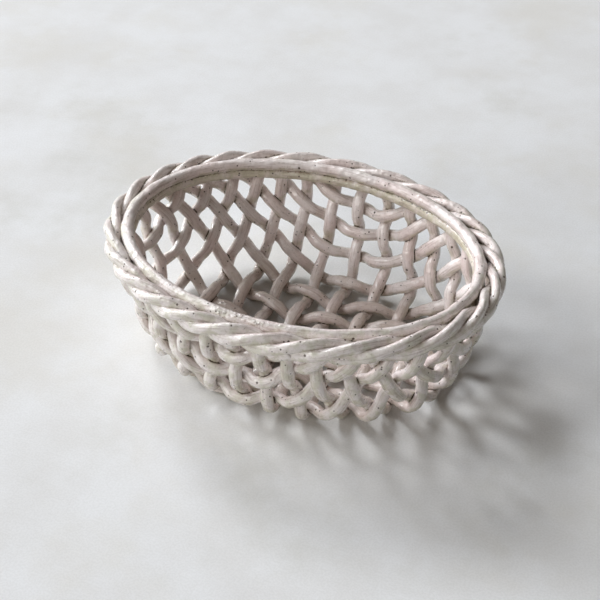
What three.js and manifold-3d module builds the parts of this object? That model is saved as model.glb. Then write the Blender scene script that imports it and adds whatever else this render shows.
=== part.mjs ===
// Oval openwork basket, woven from rolled coils of clay and glazed.
// Millimetres, Z up, length along X, origin on the table under the middle of the basket.
import * as THREE from 'three';
import Module from 'manifold-3d';
import { mergeVertices } from 'three/addons/utils/BufferGeometryUtils.js';

// Rolled coils of the weave
const coilWidth = 6.4;
const coilThickness = 5;
const crossingGap = 0.5;

// Depth to which the underside is rubbed flat where the basket stands
const standingFlat = 0.3;

// Floor and wall, measured to the middle of the weave
const floorHalfLength = 76;
const floorHalfWidth = 48.5;
const floorTurnRadius = 15.4;
const wallAngle = THREE.MathUtils.degToRad(76.3);

// Cross coils run over the width, long coils over the length, as they lie on a flat sheet.
// Each family divides the sheet into a count of spaces, and its coil 0 is shifted off the
// middle by a share of a space. Towards the ends of the sheet the coils fan apart, and they
// slant by a share of their length.
const crossSpaceCount = 15.3;
const crossShiftShare = 0.48;
const crossFanShare = 0.015;
const crossSlantShare = 0.01;
const longSpaceCount = 14;
const longShiftShare = -0.44;
const longFanShare = 0.125;
const longSlantShare = -0.06;

// The potter laid the coils by eye, so each family strays in two long waves over the sheet.
// A wave strays by a share of a space, and it turns by so many radians from one cross coil to
// the next and from one long coil to the next.
const crossWaves = [
  { strayShare: 0.2, perCross: -0.49, perLong: -0.17, start: -0.95 },
  { strayShare: 0.1, perCross: -0.52, perLong: 0.06, start: 1.29 },
];
const longWaves = [
  { strayShare: 0.47, perCross: -0.75, perLong: 0.4, start: 2.83 },
  { strayShare: 0.23, perCross: -0.53, perLong: 0.89, start: -2.85 },
];

// A coil lies level on this share of the pitch each side of a crossing
const plateauShare = 0.25;

// Twisted rope of three coils round the outside of the rim
const glazeGap = 0.3;
const ropeHeight = 69.7;
const ropeOutset = 1.6;
const ropeHalfWidth = 5.7;
const ropeHalfHeight = 7.2;
const ropeCoils = 3;
const ropeTurns = 9;
const ropeStart = 1.29;
const ropeStepsPerTurn = 9;
const ropeSides = 7;

// The hand twisted the rope tighter in some stretches than in others: waves round the rim in
// how far it has twisted, in radians
const twistWaves = [
  { count: 1, twist: 0.27, start: 0.65 },
  { count: 2, twist: 0.35, start: -0.96 },
  { count: 3, twist: 0.48, start: -1.13 },
];

// Two plain coils inside the rope, the lower one under the upper
const upperCoilRadius = 2.9;
const upperCoilRise = 3.4;
const upperCoilInset = 8.5;
const lowerCoilRadius = 2.8;
const rimCoilSteps = 40;
const rimCoilSides = 8;

const glazeColour = '#e6ddd6';
const glazeRoughness = 0.25;

// Half outline of a coil's section, as shares of its half width and half thickness
const coilSectionShares = [[1, 0], [0.55, 1], [-0.55, 1], [-1, 0], [-0.55, -1], [0.55, -1]];

const weaveLift = (coilThickness + crossingGap) / 2;
const weaveHeight = weaveLift + coilThickness / 2 - standingFlat;

// The sheet's length from the floor's oval up to the rim, and the spaces between its coils
const turnRise = floorTurnRadius * (1 - Math.cos(wallAngle));
const turnReach = floorTurnRadius * Math.sin(wallAngle);
const wallTop = ropeHeight - ropeHalfHeight;
const wallLength = floorTurnRadius * wallAngle + (wallTop - weaveHeight - turnRise) / Math.sin(wallAngle);
const sheetHalfLength = floorHalfLength + wallLength;
const sheetHalfWidth = floorHalfWidth + wallLength;
const crossPitch = 2 * sheetHalfLength / crossSpaceCount;
const longPitch = 2 * sheetHalfWidth / longSpaceCount;

const wasm = await Module();
wasm.setup();

// Foot of the nearest point of the floor's oval, and how far the flat sheet reaches past it
function nearestOnFloor(u, v) {
  const a = floorHalfLength;
  const b = floorHalfWidth;
  let t = Math.atan2(v / b, u / a);
  for (let round = 0; round < 30; round += 1) {
    const c = Math.cos(t);
    const s = Math.sin(t);
    const slope = (u - a * c) * a * s - (v - b * s) * b * c;
    const rate = (a * s) ** 2 + (b * c) ** 2 + (u - a * c) * a * c + (v - b * s) * b * s;
    t -= THREE.MathUtils.clamp(slope / rate, -0.2, 0.2);
  }
  const foot = new THREE.Vector2(a * Math.cos(t), b * Math.sin(t));
  const outward = new THREE.Vector2(Math.cos(t) / a, Math.sin(t) / b).normalize();
  const past = (u - foot.x) * outward.x + (v - foot.y) * outward.y;
  return { foot, outward, past };
}

// The flat sheet of coils bent up over the oval: its place and the way into the basket
function drape(u, v) {
  const onFloor = (u / floorHalfLength) ** 2 + (v / floorHalfWidth) ** 2 <= 1;
  if (onFloor) {
    return { place: new THREE.Vector3(u, v, weaveHeight), inward: new THREE.Vector3(0, 0, 1), turn: 0 };
  }
  const { foot, outward, past } = nearestOnFloor(u, v);
  const turn = Math.min(past / floorTurnRadius, wallAngle);
  const straight = past - turn * floorTurnRadius;
  const reach = floorTurnRadius * Math.sin(turn) + straight * Math.cos(turn);
  const rise = floorTurnRadius * (1 - Math.cos(turn)) + straight * Math.sin(turn);
  const flat = foot.clone().addScaledVector(outward, reach);
  const place = new THREE.Vector3(flat.x, flat.y, weaveHeight + rise);
  const inward = new THREE.Vector3(-outward.x * Math.sin(turn), -outward.y * Math.sin(turn), Math.cos(turn));
  return { place, inward, turn };
}

// How far the middle of the wall stands outside the floor's oval at a height
function wallReach(height) {
  return turnReach + (height - weaveHeight - turnRise) / Math.tan(wallAngle);
}

// How far the coils of a family stray where cross coil i meets long coil j
function stray(waves, i, j) {
  return waves.reduce((sum, { strayShare, perCross, perLong, start }) => (
    sum + strayShare * Math.sin(perCross * i + perLong * j + start)
  ), 0);
}

// Place on the flat sheet where cross coil i meets long coil j; both may be fractions
function sheetPoint(i, j) {
  const straightU = (i + crossShiftShare + stray(crossWaves, i, j)) * crossPitch;
  const straightV = (j + longShiftShare + stray(longWaves, i, j)) * longPitch;
  let u = straightU;
  let v = straightV;
  for (let round = 0; round < 30; round += 1) {
    v = straightV * (1 + longFanShare * (u / floorHalfLength) ** 2) + longSlantShare * u;
    u = straightU * (1 + crossFanShare * (v / floorHalfWidth) ** 2) + crossSlantShare * v;
  }
  return { u, v };
}

function weavePoint(i, j) {
  const { u, v } = sheetPoint(i, j);
  return drape(u, v);
}

// Level over each crossing and a straight slope between two crossings, from -1 to 1
function overUnder(index) {
  const nearest = Math.round(index);
  const away = Math.abs(index - nearest);
  const side = nearest % 2 === 0 ? 1 : -1;
  return side * Math.min(1, (0.5 - away) / (0.5 - plateauShare));
}

// A coil's route through the weave, by its own number and its way along the other family
function crossRoute(i) {
  return { at: (j) => weavePoint(i, j), side: -1, number: i, middle: -longShiftShare };
}

function longRoute(j) {
  return { at: (i) => weavePoint(i, j), side: 1, number: j, middle: -crossShiftShare };
}

// Walks from the middle of a coil until it has risen into the rim
function routeEnd(route, way) {
  const stride = 0.05;
  let index = route.middle;
  while (route.at(index).place.z < ropeHeight) index += way * stride;
  return index;
}

// Least step along a route, as a share of the pitch
const small = 0.02;

// Ring places: both ends of each level stretch, and more where the coil turns up the wall
function ringPlaces(route) {
  const first = routeEnd(route, -1);
  const last = routeEnd(route, 1);
  const places = [first];
  for (let crossing = Math.floor(first); crossing <= Math.ceil(last); crossing += 1) {
    for (const shift of [-plateauShare, 0, plateauShare]) {
      const index = crossing + shift;
      const turn = route.at(index).turn;
      const turning = turn > 0 && turn < wallAngle;
      const needed = Math.abs(shift) === plateauShare || turning;
      const clearOfEnds = index > first + small && index < last - small;
      if (needed && clearOfEnds) places.push(index);
    }
  }
  places.push(last);
  return places;
}

// One ring of the coil's section, square to its way along the sheet
function weaveRing(route, index) {
  const { place, inward } = route.at(index);
  const along = route.at(index + small).place.sub(route.at(index - small).place).normalize();
  const sideways = along.clone().cross(inward).normalize();
  const lift = weaveLift * route.side * overUnder(index + route.number);
  return coilSectionShares.map(([across, through]) => place.clone()
    .addScaledVector(inward, lift + through * coilThickness / 2)
    .addScaledVector(sideways, across * coilWidth / 2));
}

// Skin between rings of equal size, either closed in a loop or capped at both ends
function skin(rings, looped) {
  const sides = rings[0].length;
  const indices = [];
  const spans = looped ? rings.length : rings.length - 1;
  for (let span = 0; span < spans; span += 1) {
    const here = span * sides;
    const next = ((span + 1) % rings.length) * sides;
    for (let side = 0; side < sides; side += 1) {
      const other = (side + 1) % sides;
      indices.push(here + side, next + other, here + other);
      indices.push(here + side, next + side, next + other);
    }
  }
  if (!looped) {
    const end = (rings.length - 1) * sides;
    for (let side = 1; side < sides - 1; side += 1) {
      indices.push(0, side, side + 1);
      indices.push(end, end + side + 1, end + side);
    }
  }
  const geometry = new THREE.BufferGeometry().setFromPoints(rings.flat());
  geometry.setIndex(indices);
  return geometry;
}

// Middle line of the rim: it goes round the floor's oval a little outside the middle of the wall
function rimPlace(t, outset, height) {
  const foot = new THREE.Vector2(floorHalfLength * Math.cos(t), floorHalfWidth * Math.sin(t));
  const outward = new THREE.Vector2(Math.cos(t) / floorHalfLength, Math.sin(t) / floorHalfWidth).normalize();
  const flat = foot.addScaledVector(outward, wallReach(ropeHeight) + ropeOutset + outset);
  return new THREE.Vector3(flat.x, flat.y, ropeHeight + height);
}

// Sweeps a section, given as a list of outset and height at each step, once round the rim
function rimLoop(steps, sectionAt) {
  const rings = [];
  for (let step = 0; step < steps; step += 1) {
    const t = (step / steps) * 2 * Math.PI;
    rings.push(sectionAt(t).map(([outset, height]) => rimPlace(t, outset, height)));
  }
  return skin(rings, true);
}

// How far the rope has twisted by a place on the rim
function ropeTwist(t) {
  const even = ropeStart + ropeTurns * t;
  return twistWaves.reduce((sum, { count, twist, start }) => (
    sum + twist * Math.sin(count * t + start)
  ), even);
}

// Three round coils laid together fill a circle, which is then squeezed to the rope's section
function ropeCoil(number) {
  const share = 1 / (1 + 1 / Math.sin(Math.PI / ropeCoils));
  const orbit = 1 - share;
  const slim = share - glazeGap / (2 * ropeHalfWidth);
  return rimLoop(ropeTurns * ropeStepsPerTurn, (t) => {
    const lay = ropeTwist(t) + (number / ropeCoils) * 2 * Math.PI;
    return polygon(ropeSides, lay).map(([across, up]) => [
      ropeHalfWidth * (orbit * Math.cos(lay) + slim * across),
      ropeHalfHeight * (orbit * Math.sin(lay) + slim * up),
    ]);
  });
}

function polygon(sides, start) {
  const corners = [];
  for (let side = 0; side < sides; side += 1) {
    const angle = start + (side / sides) * 2 * Math.PI;
    corners.push([Math.cos(angle), Math.sin(angle)]);
  }
  return corners;
}

function plainRimCoil(radius, inset, rise) {
  const section = polygon(rimCoilSides, 0).map(([across, up]) => [
    radius * across - inset,
    radius * up + rise,
  ]);
  return rimLoop(rimCoilSteps, () => section);
}

const lowerCoilRise = upperCoilRise - upperCoilRadius - glazeGap - lowerCoilRadius;

// Hollow under the rim that the tops of the wall's coils fill: the rope and coils with a gap
function rimSeat() {
  const coilReach = lowerCoilRadius + glazeGap;
  const ropeReach = ropeHalfWidth + glazeGap;
  const ropeDrop = ropeHalfHeight + glazeGap;
  const outline = [];
  for (const degrees of [180, 225, 270]) {
    const angle = THREE.MathUtils.degToRad(degrees);
    const outset = coilReach * Math.cos(angle) - upperCoilInset;
    outline.push([outset, coilReach * Math.sin(angle) + lowerCoilRise]);
  }
  for (const degrees of [270, 300, 330, 360]) {
    const angle = THREE.MathUtils.degToRad(degrees);
    outline.push([ropeReach * Math.cos(angle), ropeDrop * Math.sin(angle)]);
  }
  outline.push([ropeReach, ropeDrop]);
  outline.push([-upperCoilInset - coilReach, ropeDrop]);
  return rimLoop(rimCoilSteps, () => outline);
}

function toManifold(geometry) {
  const bare = geometry.clone();
  bare.deleteAttribute('normal');
  bare.deleteAttribute('uv');
  const merged = mergeVertices(bare, 1e-5);
  return new wasm.Manifold(new wasm.Mesh({
    numProp: 3,
    vertProperties: new Float32Array(merged.attributes.position.array),
    triVerts: new Uint32Array(merged.index.array),
  }));
}

function toGeometry(manifold) {
  const mesh = manifold.getMesh();
  const geometry = new THREE.BufferGeometry();
  geometry.setAttribute('position', new THREE.BufferAttribute(new Float32Array(mesh.vertProperties), 3));
  geometry.setIndex(new THREE.BufferAttribute(new Uint32Array(mesh.triVerts), 1));
  return geometry;
}

// Block under the table's level that the undersides of the floor's coils are cut by
function tableBlock() {
  const length = 2 * (floorHalfLength + floorTurnRadius);
  const width = 2 * (floorHalfWidth + floorTurnRadius);
  return new THREE.BoxGeometry(length, width, coilThickness).translate(0, 0, -coilThickness / 2);
}

const seat = toManifold(rimSeat());
const table = toManifold(tableBlock());

// A coil of the weave, cut off where it meets the underside of the rim
function wovenCoil(route) {
  const rings = ringPlaces(route).map((index) => weaveRing(route, index));
  return toGeometry(toManifold(skin(rings, false)).subtract(seat).subtract(table));
}

const basket = new THREE.Group();

function add(name, geometry) {
  const material = new THREE.MeshStandardMaterial({
    color: glazeColour,
    roughness: glazeRoughness,
    metalness: 0,
  });
  geometry.computeVertexNormals();
  const mesh = new THREE.Mesh(geometry, material);
  mesh.name = name;
  basket.add(mesh);
}

// Numbers of the coils that fit on the sheet between the rims at its two edges
function coilNumbers(sheetHalf, pitch, shiftShare) {
  const limit = sheetHalf - coilWidth;
  const numbers = [];
  const last = Math.floor(limit / pitch - shiftShare);
  for (let number = Math.ceil(-limit / pitch - shiftShare); number <= last; number += 1) {
    numbers.push(number);
  }
  return numbers;
}

function addFamily(name, numbers, routeOf) {
  numbers.forEach((number, place) => {
    add(`${name}_${String(place + 1).padStart(2, '0')}`, wovenCoil(routeOf(number)));
  });
}

addFamily('cross_coil', coilNumbers(sheetHalfLength, crossPitch, crossShiftShare), crossRoute);
addFamily('long_coil', coilNumbers(sheetHalfWidth, longPitch, longShiftShare), longRoute);
for (let k = 1; k <= ropeCoils; k += 1) add(`rim_rope_coil_${k}`, ropeCoil(k));
add('rim_upper_inner_coil', plainRimCoil(upperCoilRadius, upperCoilInset, upperCoilRise));
add('rim_lower_inner_coil', plainRimCoil(lowerCoilRadius, upperCoilInset, lowerCoilRise));

export default basket;
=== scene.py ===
import math

import bpy
import numpy as np
from mathutils import Matrix, Vector
from mathutils.kdtree import KDTree

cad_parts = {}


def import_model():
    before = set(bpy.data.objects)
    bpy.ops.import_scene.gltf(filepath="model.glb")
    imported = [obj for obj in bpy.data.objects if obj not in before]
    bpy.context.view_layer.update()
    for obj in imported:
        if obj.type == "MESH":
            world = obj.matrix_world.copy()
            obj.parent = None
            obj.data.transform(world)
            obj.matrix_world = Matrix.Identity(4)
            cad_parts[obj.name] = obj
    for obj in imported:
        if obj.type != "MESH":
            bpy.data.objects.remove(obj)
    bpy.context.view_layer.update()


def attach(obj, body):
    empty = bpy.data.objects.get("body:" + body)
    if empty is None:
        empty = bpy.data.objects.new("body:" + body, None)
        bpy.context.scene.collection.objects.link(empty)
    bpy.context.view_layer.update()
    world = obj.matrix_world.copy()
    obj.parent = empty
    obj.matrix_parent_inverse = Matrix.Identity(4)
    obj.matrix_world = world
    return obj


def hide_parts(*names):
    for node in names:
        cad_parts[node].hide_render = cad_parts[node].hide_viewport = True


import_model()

MM = 0.001
TURN = 2 * math.pi

# Sizes of the basket, the same as the solids' own
COIL_WIDTH = 6.4 * MM
COIL_THICKNESS = 5.0 * MM
CROSSING_GAP = 0.5 * MM
STANDING_FLAT = 0.3 * MM
FLOOR_HALF_LENGTH = 76 * MM
FLOOR_HALF_WIDTH = 48.5 * MM
FLOOR_TURN_RADIUS = 15.4 * MM
WALL_ANGLE = math.radians(76.3)
CROSS_SPACES = 15.3
CROSS_SHIFT = 0.48
CROSS_FAN = 0.015
CROSS_SLANT = 0.01
LONG_SPACES = 14
LONG_SHIFT = -0.44
LONG_FAN = 0.125
LONG_SLANT = -0.06
# Waves over the sheet in which each family strays: size as a share of a space, radians from
# one cross coil to the next and from one long coil to the next, and start in radians
CROSS_WAVES = ((0.2, -0.49, -0.17, -0.95), (0.1, -0.52, 0.06, 1.29))
LONG_WAVES = ((0.47, -0.75, 0.4, 2.83), (0.23, -0.53, 0.89, -2.85))
ROPE_HEIGHT = 69.7 * MM
ROPE_OUTSET = 1.6 * MM
ROPE_HALF_WIDTH = 5.7 * MM
ROPE_HALF_HEIGHT = 7.2 * MM
ROPE_COILS = 3
ROPE_TURNS = 9
ROPE_START = 1.29
# Waves round the rim in how far the rope has twisted: count, size and start, the angles in radians
TWIST_WAVES = ((1, 0.27, 0.65), (2, 0.35, -0.96), (3, 0.48, -1.13))
UPPER_COIL_RADIUS = 2.9 * MM
UPPER_COIL_RISE = 3.4 * MM
UPPER_COIL_INSET = 8.5 * MM
LOWER_COIL_RADIUS = 2.8 * MM
GLAZE_GAP = 0.3 * MM
UPPER_COIL = "rim_upper_inner_coil"
LOWER_COIL = "rim_lower_inner_coil"

# What follows from these sizes
WEAVE_HALF = COIL_THICKNESS + CROSSING_GAP / 2
WEAVE_HEIGHT = WEAVE_HALF - STANDING_FLAT
TURN_RISE = FLOOR_TURN_RADIUS * (1 - math.cos(WALL_ANGLE))
TURN_REACH = FLOOR_TURN_RADIUS * math.sin(WALL_ANGLE)
WALL_TOP = ROPE_HEIGHT - ROPE_HALF_HEIGHT
WALL_STRAIGHT = (WALL_TOP - WEAVE_HEIGHT - TURN_RISE) / math.sin(WALL_ANGLE)
WALL_LENGTH = FLOOR_TURN_RADIUS * WALL_ANGLE + WALL_STRAIGHT
SHEET_HALF_LENGTH = FLOOR_HALF_LENGTH + WALL_LENGTH
SHEET_HALF_WIDTH = FLOOR_HALF_WIDTH + WALL_LENGTH
CROSS_PITCH = 2 * SHEET_HALF_LENGTH / CROSS_SPACES
LONG_PITCH = 2 * SHEET_HALF_WIDTH / LONG_SPACES
WALL_LEAN = (ROPE_HEIGHT - WEAVE_HEIGHT - TURN_RISE) / math.tan(WALL_ANGLE)
RIM_REACH = TURN_REACH + WALL_LEAN + ROPE_OUTSET
LOWER_COIL_RISE = UPPER_COIL_RISE - UPPER_COIL_RADIUS - GLAZE_GAP - LOWER_COIL_RADIUS

# Equations without a closed form are solved in this many rounds, each with a limited step
ROUNDS = 30
STEP_LIMIT = 0.2
TINY = 1e-12

# Fine form of the fired coils: fuller and rounder, fused where they touch
FUSED_HALF_WIDTH = 3.35 * MM
FUSED_HALF_THICKNESS = 2.85 * MM
FUSED_LIFT = WEAVE_HALF - FUSED_HALF_THICKNESS
COIL_END_HEIGHT = ROPE_HEIGHT - 2.5 * MM  # the weave's coils end here, inside the rope
WEAVE_SHOWN = ROPE_HEIGHT - 6 * MM  # up to here they leave creases on other coils
ROPE_FUSING = 0.99
ROPE_FILL = 0.932
RING_STEP = 1.1 * MM
ROPE_RINGS = 520
PLAIN_RINGS = 500
SECTION_SIDES = 18
SECTION_ANGLES = np.arange(SECTION_SIDES) / SECTION_SIDES * TURN
SECTION_POWER = 0.93  # under 1 the section is a little squarer than an ellipse
# A coil of the weave is followed this many spaces to each side of its middle, in fine steps
TRACE_REACH = 9.5
TRACE_STEPS = 3801
# At its crossings such a coil is wider and thinner by these shares
CROSSING_WIDER = 0.03
CROSSING_THINNER = 0.02
THICKNESS_SHARE = 0.5  # its thickness varies by this share of what its width does
PLAIN_WIDTH = 1.06  # width of the plain coils against their height

# The front of the rim: its middle, and how fast and by what curve it starts and ends. Ways
# round the rim are angles of its oval, from the end at +X.
FRONT_WAY = math.radians(290)
FRONT_GAIN = 1.6
FRONT_CUT = 0.25
FRONT_CURVE = 0.7
# Along it the rope's coils reach further inwards, and the plain coils are narrower
ROPE_LEAN = 0.45
FRONT_NARROWER = 0.22

# Hand-made irregularity of the coils: size, then its wavelengths, on the rim in radians round it
WEAVE_DRIFT = (0.045, 47 * MM, 83 * MM)  # size as a share of a space
WEAVE_LIFT = (0.12 * MM, 29 * MM, 53 * MM)
WEAVE_SIZE = (0.035, 19 * MM, 37 * MM, 71 * MM)
ROPE_SIZE = (0.03, TURN / 11, TURN / 17, TURN / 29)
PLAIN_OUTSET = (0.25 * MM, TURN / 3, TURN / 8, TURN / 19)
PLAIN_RISE = (0.2 * MM, TURN / 2, TURN / 7, TURN / 15)
PLAIN_SIZE = (0.04, TURN / 6, TURN / 13, TURN / 23, TURN / 41)
LEAST_WEIGHT = 0.6  # of one wavelength against another
# Lumps of hand-rolled clay: waves round the section, wavelength along the coil, share of its size
LUMPS = (
    (1, 23 * MM, 0.018), (2, 14 * MM, 0.018), (3, 31 * MM, 0.018),
    (2, 8 * MM, 0.013), (-3, 10 * MM, 0.013),
)
STREAK_SQUEEZE = 0.08  # lengths along the coil shrink to this share in the streaks' noise

# Glaze that fills the creases where coils touch: how far from the next coil, and how high
FILLET = 2.6 * MM
FILLET_RISE = 0.75 * MM
LEAST_SHARE = 0.1  # of a coil's half size: a point nearer to its middle line counts as this near
# Painted shade, with grime and pooled glaze, in the creases: its reach, and over the lower inner
# coil, most of which lies in a groove, a wider reach for this share of it
CREASE_REACH = 1.5 * MM
GROOVE_REACH = 4.0 * MM
GROOVE_SHARE = 0.6
# Painted shade and grime on the weave, the height under its ends where it fades, and the share that
# stays
WEAVE_SHADE_AND_GRIME = 1.35
RIM_SHADE = 14 * MM
SHARE_UNDER_RIM = 0.3
# Painted shade and grime on the rim, how much less its front has, and the middle of that fainter
# stretch
LOOP_SHADE_AND_GRIME = 0.9
FRONT_FAINTER = 0.5
FAINTER_WAY = math.radians(275)
# Where on the rim the upper inner coil has a rough crust of glaze: way, reach, how strong
CRUSTS = ((math.radians(268), math.radians(11), 1), (math.radians(228), math.radians(17), 0.45))

# Colours of the glaze
IVORY = (0.845, 0.79, 0.775, 1)
BLUSH = (0.77, 0.63, 0.61, 1)
CELADON = (0.66, 0.645, 0.54, 1)
# Olive painted shade for the groove and undersides, where glaze also pools
OLIVE_SHADE = (0.56, 0.52, 0.39, 1)
OLIVE = (0.36, 0.32, 0.21, 1)
# Brown painted shade near the table
LOW_SHADE = (0.5, 0.40, 0.34, 1)
RUST = (0.26, 0.155, 0.12, 1)
# Near-black brown of the specks, and of the painted shade deep in the creases
SPECK_AND_SHADE_BROWN = (0.055, 0.032, 0.02, 1)
# Its patterns: width of their blotches, detail and roughness
PATCHES = (24 * MM, 3)
CLOUDS = (6 * MM, 4, 0.6)
GRAIN = (1.4 * MM, 3, 0.6)
STREAKS = (0.9 * MM, 2)
SWELLS = (4 * MM, 2)
# Ramps of its layers: value where a layer starts, value where it is full, and its share at both.
# The facing of a place is how far it lies from the middle, towards where it faces.
BLUSH_PATCHES = (0.42, 0.6, 0.3, 1)
BLUSH_FACING = (-20 * MM, 50 * MM, 0.75, 0.1)
CELADON_CLOUDS = (0.42, 0.64, 0.05, 0.8)
CELADON_FACING = (-20 * MM, 50 * MM, 0.15, 1)
# Painted shade in the groove, near the table and on undersides
GROOVE_CLOUDS = (0.35, 0.6, 0.35, 0.9)
LOW_SHADE_HEIGHT = (17 * MM, 8 * MM, 0, 0.5)
LOW_SHADE_CLOUDS = (0.3, 0.6, 0.5, 1)
UNDERSIDE = (0.25, -0.6, 0, 0.9)
UNDERSIDE_CLOUDS = (0.35, 0.6)
STREAK_RUST = (0.48, 0.7, 0, 0.38)
GRAIN_RUST = (0.52, 0.72, 0, 0.28)
# Painted shade in the creases: pooled glaze, and near black, with grime, in their depth
POOL_AND_SHADE_CREASE = (0.1, 0.9)
POOL_AND_SHADE_CLOUDS = (0.42, 0.6, 0.2, 0.7)
POOL_OLIVE = (0.42, 0.56)
GRIME_AND_SHADE_CREASE = (0.65, 0.95)
GRIME_AND_SHADE_PATCHES = (0.45, 0.56, 0.1, 1)
PIT_CREASE = (0.3, 0.7)
CRUST_RUST = (0.45, 0.65, 0, 0.4)
GLAZE_ROUGHNESS = (0.3, 0.7, 0.35, 0.6)
CREASE_SHAKE = 0.8  # how much the grain makes the creases' edges ragged
# Its spots: spacing, radius, and share of the places that have one
LARGE_SPECKS = (9 * MM, 0.75 * MM, 0.5)
SMALL_SPECKS = (3 * MM, 0.5 * MM, 0.6)
PITS = (2 * MM, 0.5 * MM, 0.6)
PIMPLES = (2.2 * MM, 0.9 * MM, 0.8)
SPOT_SPREAD = 0.3  # share of the places over which the spots differ in size
SPOT_EDGE = (1.15, 0.75)  # shares of a spot's radius: where its edge starts and ends
LEAST_SPOT = 1e-4  # stands in for no spot, so that nothing is divided by zero
SHAKE_GRAIN = 0.7 * MM
SHAKE_REACH = 0.3 * MM
SPECK_SHARE = 0.93
COAT_WEIGHT = 0.85
COAT_ROUGHNESS = 0.07
# Its relief, in mm
SWELL_RELIEF = 0.7
GRAIN_RELIEF = 0.2
STREAK_RELIEF = 0.05
SPECK_RELIEF = -0.12
PIMPLE_RELIEF = 0.6

# The stone under the basket: colours, patterns and ramps in the same way
FLOOR_HALF_SIZE = 6.0
STONE = (0.85, 0.85, 0.86, 1)
STONE_CLOUD = (0.795, 0.785, 0.78, 1)
STONE_VEIN = (0.64, 0.625, 0.58, 1)
STONE_STAIN = (0.735, 0.70, 0.635, 1)
STONE_GRAIN = (0.45, 0.44, 0.42, 1)
CLOUD_NOISE = (70 * MM, 5, 0.6)
VEIN_NOISE = (210 * MM, 6, 0.65)
STAIN_NOISE = (100 * MM, 4, 0.6)
GRAIN_NOISE = (1.1 * MM, 2)
CLOUD_RAMP = (0.35, 0.65)
VEIN_RAMP = (0.53, 0.68, 0, 0.5)
STAIN_RAMP = (0.48, 0.68, 0, 0.4)
GRAIN_RAMP = (0.35, 0.65, 0, 0.12)
STONE_ROUGHNESS = (0.3, 0.7, 0.75, 0.9)
STONE_SPECULAR = 0.3
STONE_RELIEF = 0.03 * MM

# Camera of the photograph, in the basket's frame
VIEW_AZIMUTH = math.radians(22.97)
VIEW_ELEVATION = math.radians(40)
VIEW_DISTANCE = 750 * MM
VIEW_SHIFT_RIGHT = -0.36 * MM
VIEW_SHIFT_BACK = 39.28 * MM
LENS_FOCAL = 75.85
SENSOR_WIDTH = 36

# Windows: degrees from the view's right, degrees over the floor, size, power and colour
LAMP_DISTANCE = 6.5
DAYLIGHT = (0.93, 0.965, 1.0)
ROOM_LIGHT = (1, 0.98, 0.94)
WINDOWS = {
    "back_left_window": (147, 20, 2.0, 300, DAYLIGHT),
    "back_window": (120, 42, 2.0, 165, DAYLIGHT),
    "left_window": (180, 40, 2.5, 165, DAYLIGHT),
    "front_left_window": (215, 22, 2.5, 118, ROOM_LIGHT),
}
WORLD_COLOUR = (1, 0.90, 0.78, 1)
HORIZON_STRENGTH = 0.09
OVERHEAD_STRENGTH = 0.06
BACKDROP_STRENGTH = 0.65

rng = np.random.default_rng(7)


def normalised(vectors):
    return vectors / np.linalg.norm(vectors, axis=-1, keepdims=True)


def way_along(places):
    """How far along a line each of its places lies."""
    return np.concatenate([[0], np.cumsum(np.linalg.norm(np.diff(places, axis=0), axis=1))])


def nearest_on_floor(u, v):
    """Foot on the floor's oval, its outward direction and the sheet's reach past it."""
    a, b = FLOOR_HALF_LENGTH, FLOOR_HALF_WIDTH
    t = np.arctan2(v / b, u / a)
    for _ in range(ROUNDS):
        c, s = np.cos(t), np.sin(t)
        slope = (u - a * c) * a * s - (v - b * s) * b * c
        rate = (a * s) ** 2 + (b * c) ** 2 + (u - a * c) * a * c + (v - b * s) * b * s
        rate = np.where(np.abs(rate) < TINY, TINY, rate)
        t = t - np.clip(slope / rate, -STEP_LIMIT, STEP_LIMIT)
    foot = np.stack([a * np.cos(t), b * np.sin(t)], -1)
    outward = normalised(np.stack([np.cos(t) / a, np.sin(t) / b], -1))
    past = (u - foot[:, 0]) * outward[:, 0] + (v - foot[:, 1]) * outward[:, 1]
    return foot, outward, past


def drape(u, v):
    """Places on the bent-up sheet and the direction into the basket there."""
    foot, outward, past = nearest_on_floor(u, v)
    on_floor = (u / FLOOR_HALF_LENGTH) ** 2 + (v / FLOOR_HALF_WIDTH) ** 2 <= 1
    past = np.where(on_floor, 0, past)
    turn = np.minimum(past / FLOOR_TURN_RADIUS, WALL_ANGLE)
    straight = past - turn * FLOOR_TURN_RADIUS
    reach = FLOOR_TURN_RADIUS * np.sin(turn) + straight * np.cos(turn)
    rise = FLOOR_TURN_RADIUS * (1 - np.cos(turn)) + straight * np.sin(turn)
    wall = foot + outward * reach[:, None]
    flat = np.where(on_floor[:, None], np.stack([u, v], -1), wall)
    place = np.column_stack([flat, WEAVE_HEIGHT + rise])
    inward = np.column_stack([-outward * np.sin(turn)[:, None], np.cos(turn)])
    return place, inward


def stray(waves, i, j):
    """How far the coils of a family stray where cross coil i meets long coil j."""
    return sum(size * np.sin(per_cross * i + per_long * j + start)
               for size, per_cross, per_long, start in waves)


def sheet_point(i, j):
    """Place on the flat sheet where cross coil i meets long coil j."""
    straight_u = (i + CROSS_SHIFT + stray(CROSS_WAVES, i, j)) * CROSS_PITCH
    straight_v = (j + LONG_SHIFT + stray(LONG_WAVES, i, j)) * LONG_PITCH
    u, v = straight_u, straight_v
    for _ in range(ROUNDS):
        v = straight_v * (1 + LONG_FAN * (u / FLOOR_HALF_LENGTH) ** 2) + LONG_SLANT * u
        u = straight_u * (1 + CROSS_FAN * (v / FLOOR_HALF_WIDTH) ** 2) + CROSS_SLANT * v
    return u, v


def over_under(index):
    """1 at even crossings and -1 at odd ones, with a smooth way between."""
    return np.sin(math.pi / 2 * np.cos(math.pi * index))


def wander(way, size, *wavelengths):
    """A smooth hand-made irregularity along a coil, as a function of the way along it."""
    waves = [(TURN / wavelength, rng.uniform(0, TURN), rng.uniform(LEAST_WEIGHT, 1))
             for wavelength in wavelengths]
    total = sum(weight * np.sin(rate * way + start) for rate, start, weight in waves)
    return size * total / len(waves) ** 0.5


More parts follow.
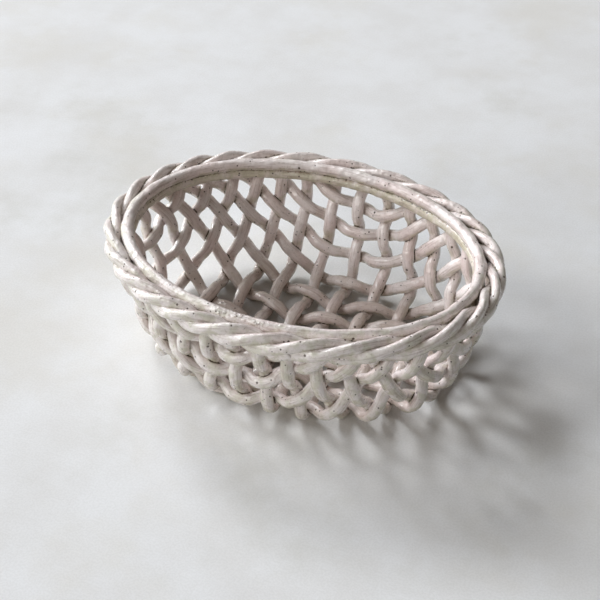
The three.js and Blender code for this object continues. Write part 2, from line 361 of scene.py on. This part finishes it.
class Coil:
    """One coil of clay: its middle line, section directions and half sizes."""

    def __init__(self, name, centre, sideways, upward, half_width, half_thickness, looped):
        self.name = name
        self.centre = centre
        self.sideways = sideways
        self.upward = upward
        self.half_width = half_width
        self.half_thickness = half_thickness
        self.looped = looped
        self.way = way_along(centre)
        self.loop_length = self.way[-1] + np.linalg.norm(centre[0] - centre[-1])

    def lumps(self):
        """Small lumps of hand-rolled clay, ring by ring, as shares of the coil's size."""
        total = np.zeros((len(self.way), SECTION_SIDES))
        for around, wave, size in LUMPS:
            rate = TURN / wave
            if self.looped:
                rate = TURN * round(self.loop_length / wave) / self.loop_length
            phase = rng.uniform(0, TURN)
            total += size * np.cos(around * SECTION_ANGLES + rate * self.way[:, None] + phase)
        return total

    def skin(self):
        """Points of the coil's lumpy surface, ring by ring."""
        across, through = np.cos(SECTION_ANGLES), np.sin(SECTION_ANGLES)
        across = np.sign(across) * np.abs(across) ** SECTION_POWER
        through = np.sign(through) * np.abs(through) ** SECTION_POWER
        lumpy = 1 + self.lumps()
        flat = (self.half_width[:, None] * across * lumpy)[..., None] * self.sideways[:, None]
        thick = (self.half_thickness[:, None] * through * lumpy)[..., None] * self.upward[:, None]
        return self.centre[:, None] + flat + thick

    def surface_way(self):
        """Where each point lies along and round the coil, for streaks that run along it. Four
        numbers a point, so that a looped coil has no seam: a vector and one number more."""
        angle = np.tile(SECTION_ANGLES, len(self.way))
        along = np.repeat(self.way * STREAK_SQUEEZE, SECTION_SIDES)
        across, through = COIL_WIDTH / 2 * np.cos(angle), COIL_WIDTH / 2 * np.sin(angle)
        offset = rng.uniform(0, 1)
        if not self.looped:
            return np.column_stack([along + offset, 0 * along, across]), through
        radius = self.loop_length * STREAK_SQUEEZE / TURN
        turn = along / radius
        circle = [radius * np.cos(turn) + offset, radius * np.sin(turn)]
        return np.column_stack([*circle, across]), through


def woven_coil(name, number, middle, side, at):
    """A coil of the weave, from rim to rim, over and under the coils of the other family."""
    index = np.linspace(middle - TRACE_REACH, middle + TRACE_REACH, TRACE_STEPS)
    place, _ = at(number, index)
    inside = place[:, 2] < COIL_END_HEIGHT
    half = len(index) // 2
    first = half - np.argmin(inside[half::-1]) + 1
    last = half + np.argmin(inside[half:])
    index = index[first:last]
    way = way_along(place[first:last])
    place, inward = at(number + wander(way, *WEAVE_DRIFT), index)
    level = over_under(index + number)
    lift = side * FUSED_LIFT * level + wander(way, *WEAVE_LIFT)
    centre = place + inward * lift[:, None]
    way = way_along(centre)
    rings = np.linspace(0, way[-1], round(way[-1] / RING_STEP))
    centre, inward = (np.stack([np.interp(rings, way, column) for column in values.T], -1)
                      for values in (centre, inward))
    level = np.interp(rings, way, level)
    along = normalised(np.gradient(centre, axis=0))
    sideways = normalised(np.cross(along, inward))
    upward = np.cross(sideways, along)
    size = 1 + wander(rings, *WEAVE_SIZE)
    half_width = FUSED_HALF_WIDTH * size * (1 + CROSSING_WIDER * level ** 2)
    half_thickness = FUSED_HALF_THICKNESS * (1 + THICKNESS_SHARE * (size - 1))
    half_thickness = half_thickness * (1 - CROSSING_THINNER * level ** 2)
    return Coil(name, centre, sideways, upward, half_width, half_thickness, looped=False)


def cross_place(i, j):
    return drape(*sheet_point(np.broadcast_to(i, j.shape), j))


def long_place(j, i):
    return drape(*sheet_point(i, np.broadcast_to(j, i.shape)))


def coil_numbers(sheet_half, pitch, shift):
    """Numbers of a family's coils: those that lie a coil's width or more inside the sheet."""
    limit = sheet_half - COIL_WIDTH
    return range(math.ceil(-limit / pitch - shift), math.floor(limit / pitch - shift) + 1)


def woven_coils():
    coils = []
    cross = coil_numbers(SHEET_HALF_LENGTH, CROSS_PITCH, CROSS_SHIFT)
    for order, number in enumerate(cross, 1):
        coils.append(woven_coil(f"cross_coil_{order:02d}", number, -LONG_SHIFT, -1, cross_place))
    long = coil_numbers(SHEET_HALF_WIDTH, LONG_PITCH, LONG_SHIFT)
    for order, number in enumerate(long, 1):
        coils.append(woven_coil(f"long_coil_{order:02d}", number, -CROSS_SHIFT, 1, long_place))
    return coils


def rim_steps(count):
    """Ways round the rim, in radians."""
    return np.arange(count) / count * TURN


def at_front(t, middle=FRONT_WAY):
    """1 along a stretch at the rim's front, 0 at the back, for ways t round the rim."""
    return np.clip(np.cos(t - middle) * FRONT_GAIN - FRONT_CUT, 0, 1) ** FRONT_CURVE


def rim_coil(name, t, outset, height, half_width, half_height):
    """A looped coil that runs this far outside the rope's middle line and this high over it."""
    a, b = FLOOR_HALF_LENGTH, FLOOR_HALF_WIDTH
    outward = normalised(np.stack([np.cos(t) / a, np.sin(t) / b], -1))
    flat = np.stack([a * np.cos(t), b * np.sin(t)], -1) + outward * (RIM_REACH + outset)[:, None]
    centre = np.column_stack([flat, ROPE_HEIGHT + height])
    sideways = np.column_stack([outward, 0 * t])
    upward = np.tile([0.0, 0.0, 1.0], (len(t), 1))
    return Coil(name, centre, sideways, upward, half_width, half_height, looped=True)


def rope_coil(name, number):
    t = rim_steps(ROPE_RINGS)
    lay = ROPE_START + ROPE_TURNS * t + number / ROPE_COILS * TURN
    for count, size, start in TWIST_WAVES:
        lay = lay + size * np.sin(count * t + start)
    # Each coil's share of the rope's half sizes, as for equal circles that touch inside a circle
    share = ROPE_FUSING / (1 + 1 / math.sin(math.pi / ROPE_COILS))
    half_width, half_height = ROPE_HALF_WIDTH * ROPE_FILL, ROPE_HALF_HEIGHT * ROPE_FILL
    lean = ROPE_LEAN * at_front(t) * np.maximum(-np.cos(lay), 0)
    outset = half_width * (1 - share) * (np.cos(lay) - lean)
    height = half_height * (1 - share) * np.sin(lay)
    size = share * (1 + wander(t, *ROPE_SIZE))
    return rim_coil(name, t, outset, height, half_width * size, half_height * size)


def plain_coil(name, radius, rise):
    t = rim_steps(PLAIN_RINGS)
    outset = -UPPER_COIL_INSET + wander(t, *PLAIN_OUTSET)
    height = rise + wander(t, *PLAIN_RISE)
    half_height = (radius + GLAZE_GAP / 2) * (1 + wander(t, *PLAIN_SIZE))
    half_width = half_height * (PLAIN_WIDTH - FRONT_NARROWER * at_front(t))
    return rim_coil(name, t, outset, height, half_width, half_height)


def rim_coils():
    coils = [rope_coil(f"rim_rope_coil_{k}", k) for k in range(1, ROPE_COILS + 1)]
    coils.append(plain_coil(UPPER_COIL, UPPER_COIL_RADIUS, UPPER_COIL_RISE))
    coils.append(plain_coil(LOWER_COIL, LOWER_COIL_RADIUS, LOWER_COIL_RISE))
    return coils


def gap_to_others(points, coil, coils):
    """Distance from each point to the surface of the nearest other coil."""
    others = [other for other in coils if other is not coil]
    # The weave's coils end inside the rope, so their ends leave no trace on it
    shown = np.concatenate([other.looped | (other.centre[:, 2] < WEAVE_SHOWN) for other in others])
    fields = ("centre", "sideways", "upward", "half_width", "half_thickness")
    centre, sideways, upward, half_width, half_thickness = (
        np.concatenate([getattr(other, field) for other in others])[shown] for field in fields)
    tree = KDTree(len(centre))
    for number, place in enumerate(centre):
        tree.insert(place, number)
    tree.balance()
    nearest = np.array([tree.find(point)[1] for point in points])
    offset = points - centre[nearest]
    across = (offset * sideways[nearest]).sum(1)
    through = (offset * upward[nearest]).sum(1)
    share = np.sqrt((across / half_width[nearest]) ** 2 + (through / half_thickness[nearest]) ** 2)
    return np.sqrt(across ** 2 + through ** 2) * (1 - 1 / np.maximum(share, LEAST_SHARE))


def crease_shade_and_grime(coil, gap, t, height):
    """How darkly each point of a coil is painted in its creases, as shade, grime and pooled glaze,
    by its gap to the next coil and its way round the rim, or on the weave its height."""
    crease_darkening = np.clip(1 - gap / CREASE_REACH, 0, 1)
    if coil.name == LOWER_COIL:
        in_groove = np.clip(1 - gap / GROOVE_REACH, 0, 1)
        crease_darkening = (1 - GROOVE_SHARE) * crease_darkening + GROOVE_SHARE * in_groove
    if coil.looped:
        return crease_darkening * (LOOP_SHADE_AND_GRIME - FRONT_FAINTER * at_front(t, FAINTER_WAY))
    under_rim = np.clip((COIL_END_HEIGHT - height) / RIM_SHADE, SHARE_UNDER_RIM, 1)
    return np.clip(crease_darkening * WEAVE_SHADE_AND_GRIME, 0, 1) * under_rim


def coil_faces(rings, looped):
    """Faces between the rings, and one on each end of a coil that isn't a loop."""
    sides = SECTION_SIDES
    faces = []
    for ring in range(rings if looped else rings - 1):
        here, following = ring * sides, (ring + 1) % rings * sides
        for side in range(sides):
            other = (side + 1) % sides
            faces.append((here + side, here + other, following + other, following + side))
    if not looped:
        faces.append(tuple(range(sides - 1, -1, -1)))
        faces.append(tuple((rings - 1) * sides + side for side in range(sides)))
    return faces


def note(mesh, name, values, kind="FLOAT", field="value"):
    """Give each point of a mesh a value that the glaze reads by its name."""
    mesh.attributes.new(name, kind, "POINT").data.foreach_set(field, values.ravel())


def coil_mesh(coil, coils):
    """The surface of a coil, with the glaze that fills the creases and what its looks need."""
    points = coil.skin().reshape(-1, 3)
    rings = len(coil.way)
    gap = gap_to_others(points, coil, coils)
    outward = normalised(points - np.repeat(coil.centre, SECTION_SIDES, axis=0))
    rise = FILLET_RISE * np.clip(1 - gap / FILLET, 0, 1) ** 2
    points = points + outward * rise[:, None]
    points[:, 2] = np.maximum(points[:, 2], 0)
    faces = coil_faces(rings, coil.looped)
    mesh = bpy.data.meshes.new(coil.name + "_glazed")
    mesh.from_pydata(points.tolist(), [], faces)
    mesh.polygons.foreach_set("use_smooth", [True] * len(faces))

    # A coil's glaze and its neighbour's both rise, so the gap between them shrinks by twice that
    t = np.repeat(rim_steps(rings), SECTION_SIDES)
    # The crease value is painted shade in the creases, with grime and pooled glaze
    note(mesh, "crease", crease_shade_and_grime(coil, gap - 2 * rise, t, points[:, 2]))
    crust = sum(size * np.exp(-((t - way) / reach) ** 2) for way, reach, size in CRUSTS)
    note(mesh, "crust", crust * (coil.name == UPPER_COIL))
    note(mesh, "groove", np.full(len(points), float(coil.name == LOWER_COIL)))
    way, turn = coil.surface_way()
    note(mesh, "coil_way", way, "FLOAT_VECTOR", "vector")
    note(mesh, "coil_turn", turn)
    mesh.update()
    return mesh


class Wiring:
    """Short ways to make and join the nodes of one material or world."""

    def __init__(self, block, shader):
        block.use_nodes = True
        self.tree = block.node_tree
        self.shader = self.tree.nodes[shader].inputs

    def join(self, socket, value):
        if isinstance(value, bpy.types.NodeSocket):
            self.tree.links.new(value, socket)
        else:
            socket.default_value = value

    def add(self, kind, sockets=None, **settings):
        node = self.tree.nodes.new("ShaderNode" + kind)
        for name, value in settings.items():
            setattr(node, name, value)
        for name, value in (sockets or {}).items():
            self.join(node.inputs[name], value)
        return node

    def places(self):
        return self.add("TexCoord").outputs["Object"]

    def z_of(self, vector):
        return self.add("SeparateXYZ", {"Vector": vector}).outputs["Z"]

    def attribute(self, name, output="Fac"):
        return self.add("Attribute", attribute_name=name).outputs[output]

    def noise(self, vector, width, detail=2.0, roughness=0.5, **settings):
        """Soft noise whose blotches are about this wide."""
        sockets = {"Vector": vector, "Scale": 1 / width, "Detail": detail, "Roughness": roughness}
        return self.add("TexNoise", sockets, **settings).outputs["Fac"]

    def calculate(self, operation, *values):
        return self.add("Math", dict(enumerate(values)), operation=operation).outputs[0]

    def times(self, first, second):
        return self.calculate("MULTIPLY", first, second)

    def ramp(self, value, low, high, start=0.0, end=1.0):
        """Share that goes smoothly from start to end as the value goes from low to high."""
        sockets = {"Value": value, "From Min": low, "From Max": high,
                   "To Min": start, "To Max": end}
        return self.add("MapRange", sockets, interpolation_type="SMOOTHSTEP").outputs["Result"]

    def blend(self, share, first, second):
        """Colour that goes from the first to the second as the share goes from 0 to 1."""
        # Its sockets go by number, because this node has several of each name
        return self.add("Mix", {0: share, 6: first, 7: second}, data_type="RGBA").outputs[2]

    def bump(self, height, distance):
        return self.add("Bump", {"Height": height, "Distance": distance}).outputs["Normal"]


def spots(wiring, vector, spacing, radius, share):
    """Round spots in the glaze: in this share of its cells, each cut at its own height."""
    cells = wiring.add("TexVoronoi", {"Vector": vector, "Scale": 1 / spacing}).outputs
    chance = wiring.add("SeparateColor", {"Color": cells["Color"]}).outputs["Red"]
    size = wiring.ramp(chance, 1 - share, 1 - share + SPOT_SPREAD, 0, radius / spacing)
    size = wiring.calculate("MAXIMUM", size, LEAST_SPOT)
    distance = wiring.calculate("DIVIDE", cells["Distance"], size)
    return wiring.ramp(distance, *SPOT_EDGE)


def glaze():
    material = bpy.data.materials.new("warm_white_glaze")
    wiring = Wiring(material, "Principled BSDF")
    ramp, times, blend, shader = wiring.ramp, wiring.times, wiring.blend, wiring.shader
    place = wiring.places()
    normal = wiring.add("NewGeometry").outputs["Normal"]
    flat = wiring.add("VectorMath", {0: place, 1: (1, 1, 0)}, operation="MULTIPLY").outputs[0]
    facing = wiring.add("VectorMath", {0: normal, 1: flat}, operation="DOT_PRODUCT")
    facing = facing.outputs["Value"]
    crease = wiring.attribute("crease")
    crust = wiring.attribute("crust")

    patches = wiring.noise(place, *PATCHES)
    clouds = wiring.noise(place, *CLOUDS)
    grain = wiring.noise(place, *GRAIN)
    along = wiring.attribute("coil_way", "Vector")
    streaks = wiring.noise(along, *STREAKS, noise_dimensions="4D")
    wiring.join(streaks.node.inputs["W"], wiring.attribute("coil_turn"))

    # Warm white with pink patches, mostly inside, and grey-green ones, mostly outside
    blush = times(ramp(patches, *BLUSH_PATCHES), ramp(facing, *BLUSH_FACING))
    colour = blend(blush, IVORY, BLUSH)
    greenish = times(ramp(clouds, *CELADON_CLOUDS), ramp(facing, *CELADON_FACING))
    colour = blend(greenish, colour, CELADON)
    # Painted shade, yellower and darker, in the groove and on undersides, where glaze also pools
    groove_shade = times(wiring.attribute("groove"), ramp(clouds, *GROOVE_CLOUDS))
    colour = blend(groove_shade, colour, OLIVE_SHADE)
    # Darker and browner near the table: painted shade
    shade_near_table = times(ramp(wiring.z_of(place), *LOW_SHADE_HEIGHT), ramp(clouds, *LOW_SHADE_CLOUDS))
    colour = blend(shade_near_table, colour, LOW_SHADE)
    under = times(ramp(wiring.z_of(normal), *UNDERSIDE), ramp(clouds, *UNDERSIDE_CLOUDS))
    colour = blend(under, colour, OLIVE_SHADE)
    # Clay that shows through in streaks along the coil and in grains
    colour = blend(ramp(streaks, *STREAK_RUST), colour, RUST)
    colour = blend(ramp(grain, *GRAIN_RUST), colour, RUST)

    # Painted shade in the creases, with ragged edges: pooled brown glaze, and near black shade and
    # grime in their depth
    even = wiring.calculate("SUBTRACT", crease, CREASE_SHAKE / 2)
    shaken = wiring.calculate("MULTIPLY_ADD", grain, CREASE_SHAKE, even)
    pooled_and_shade = times(ramp(shaken, *POOL_AND_SHADE_CREASE), ramp(clouds, *POOL_AND_SHADE_CLOUDS))
    colour = blend(pooled_and_shade, colour, blend(ramp(patches, *POOL_OLIVE), RUST, OLIVE))
    grime_and_shade = times(ramp(shaken, *GRIME_AND_SHADE_CREASE), ramp(patches, *GRIME_AND_SHADE_PATCHES))
    colour = blend(grime_and_shade, colour, SPECK_AND_SHADE_BROWN)

    # Specks all over, pits in the creases, and pimples and stains on the crust
    shake = wiring.noise(place, SHAKE_GRAIN).node.outputs["Color"]
    shift = wiring.add("VectorMath", {0: shake, "Scale": SHAKE_REACH}, operation="SCALE").outputs[0]
    ragged = wiring.add("VectorMath", {0: place, 1: shift}, operation="ADD").outputs[0]
    specks = times(spots(wiring, ragged, *PITS), ramp(crease, *PIT_CREASE))
    for kind in (LARGE_SPECKS, SMALL_SPECKS):
        specks = wiring.calculate("MAXIMUM", specks, spots(wiring, ragged, *kind))
    pimples = times(spots(wiring, ragged, *PIMPLES), crust)
    colour = blend(times(ramp(grain, *CRUST_RUST), crust), colour, RUST)
    colour = blend(times(specks, SPECK_SHARE), colour, SPECK_AND_SHADE_BROWN)

    relief = times(wiring.noise(place, *SWELLS), SWELL_RELIEF)
    reliefs = ((grain, GRAIN_RELIEF), (streaks, STREAK_RELIEF),
               (specks, SPECK_RELIEF), (pimples, PIMPLE_RELIEF))
    for pattern, size in reliefs:
        relief = wiring.calculate("MULTIPLY_ADD", pattern, size, relief)
    bump = wiring.bump(relief, MM)

    wiring.join(shader["Base Color"], colour)
    wiring.join(shader["Roughness"], ramp(clouds, *GLAZE_ROUGHNESS))
    wiring.join(shader["Normal"], bump)
    wiring.join(shader["Coat Weight"], COAT_WEIGHT)
    wiring.join(shader["Coat Roughness"], COAT_ROUGHNESS)
    wiring.join(shader["Coat Normal"], bump)
    return material


def pale_stone():
    material = bpy.data.materials.new("pale_floor")
    wiring = Wiring(material, "Principled BSDF")
    ramp, blend, shader = wiring.ramp, wiring.blend, wiring.shader
    place = wiring.places()
    cloud = wiring.noise(place, *CLOUD_NOISE)
    vein = wiring.noise(place, *VEIN_NOISE)
    stain = wiring.noise(place, *STAIN_NOISE, noise_dimensions="4D")
    grain = wiring.noise(place, *GRAIN_NOISE)
    colour = blend(ramp(cloud, *CLOUD_RAMP), STONE, STONE_CLOUD)
    colour = blend(ramp(vein, *VEIN_RAMP), colour, STONE_VEIN)
    colour = blend(ramp(stain, *STAIN_RAMP), colour, STONE_STAIN)
    colour = blend(ramp(grain, *GRAIN_RAMP), colour, STONE_GRAIN)
    wiring.join(shader["Base Color"], colour)
    wiring.join(shader["Roughness"], ramp(cloud, *STONE_ROUGHNESS))
    wiring.join(shader["Specular IOR Level"], STONE_SPECULAR)
    wiring.join(shader["Normal"], wiring.bump(grain, STONE_RELIEF))
    return material


def placed(name, data):
    """A new object with this data, in the scene."""
    item = bpy.data.objects.new(name, data)
    bpy.context.scene.collection.objects.link(item)
    return item


def dress(coils):
    material = glaze()
    for coil in coils:
        mesh = coil_mesh(coil, coils)
        mesh.materials.append(material)
        piece = placed(coil.name + "_glazed", mesh)
        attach(piece, "root")
        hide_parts(coil.name)


def floor():
    size = FLOOR_HALF_SIZE
    mesh = bpy.data.meshes.new("floor")
    corners = [(-size, -size, 0), (size, -size, 0), (size, size, 0), (-size, size, 0)]
    mesh.from_pydata(corners, [], [(0, 1, 2, 3)])
    mesh.materials.append(pale_stone())
    placed("floor", mesh)


def in_view_frame(x, y, z):
    """A direction or place given as right, back and up from the camera's side of the basket."""
    return Matrix.Rotation(VIEW_AZIMUTH, 3, "Z") @ Vector((x, y, z))


def camera():
    data = bpy.data.cameras.new("camera")
    data.lens = LENS_FOCAL
    data.sensor_width = SENSOR_WIDTH
    away = VIEW_DISTANCE * math.cos(VIEW_ELEVATION)
    up = VIEW_DISTANCE * math.sin(VIEW_ELEVATION)
    eye = placed("camera", data)
    eye.location = in_view_frame(VIEW_SHIFT_RIGHT, VIEW_SHIFT_BACK - away, up)
    eye.rotation_euler = (math.pi / 2 - VIEW_ELEVATION, 0, VIEW_AZIMUTH)
    bpy.context.scene.camera = eye


def window(name, bearing, elevation, size, power, colour):
    """A round soft lamp, placed by its degrees from the view's right and over the floor."""
    data = bpy.data.lights.new(name, "AREA")
    data.shape = "DISK"
    data.size = size
    data.energy = power
    data.color = colour
    turn, rise = math.radians(bearing), math.radians(elevation)
    way = (math.cos(turn) * math.cos(rise), math.sin(turn) * math.cos(rise), math.sin(rise))
    lamp = placed(name, data)
    lamp.location = LAMP_DISTANCE * in_view_frame(*way)
    lamp.rotation_euler = (-lamp.location).to_track_quat("-Z", "Y").to_euler()


def world():
    """Weak warm light from all round, which changes evenly from the horizon to overhead."""
    sky = bpy.data.worlds.new("world")
    bpy.context.scene.world = sky
    wiring = Wiring(sky, "Background")
    wiring.join(wiring.shader["Color"], WORLD_COLOUR)
    height = wiring.z_of(wiring.add("TexCoord").outputs["Generated"])
    strengths = {"Value": height, "To Min": HORIZON_STRENGTH, "To Max": OVERHEAD_STRENGTH}
    strength = wiring.add("MapRange", strengths).outputs["Result"]
    # The camera, and what mirrors or lets through what it sees, get a pale backdrop instead
    rays = wiring.add("LightPath").outputs
    backdrop = rays["Is Camera Ray"]
    for kind in ("Is Glossy Ray", "Is Transmission Ray"):
        backdrop = wiring.calculate("MAXIMUM", backdrop, rays[kind])
    strength = wiring.add("Mix", {0: backdrop, 2: strength, 3: BACKDROP_STRENGTH}).outputs[0]
    wiring.join(wiring.shader["Strength"], strength)


camera()
floor()
for name, settings in WINDOWS.items():
    window(name, *settings)
world()
bpy.context.scene.view_settings.view_transform = "Standard"
dress(woven_coils() + rim_coils())
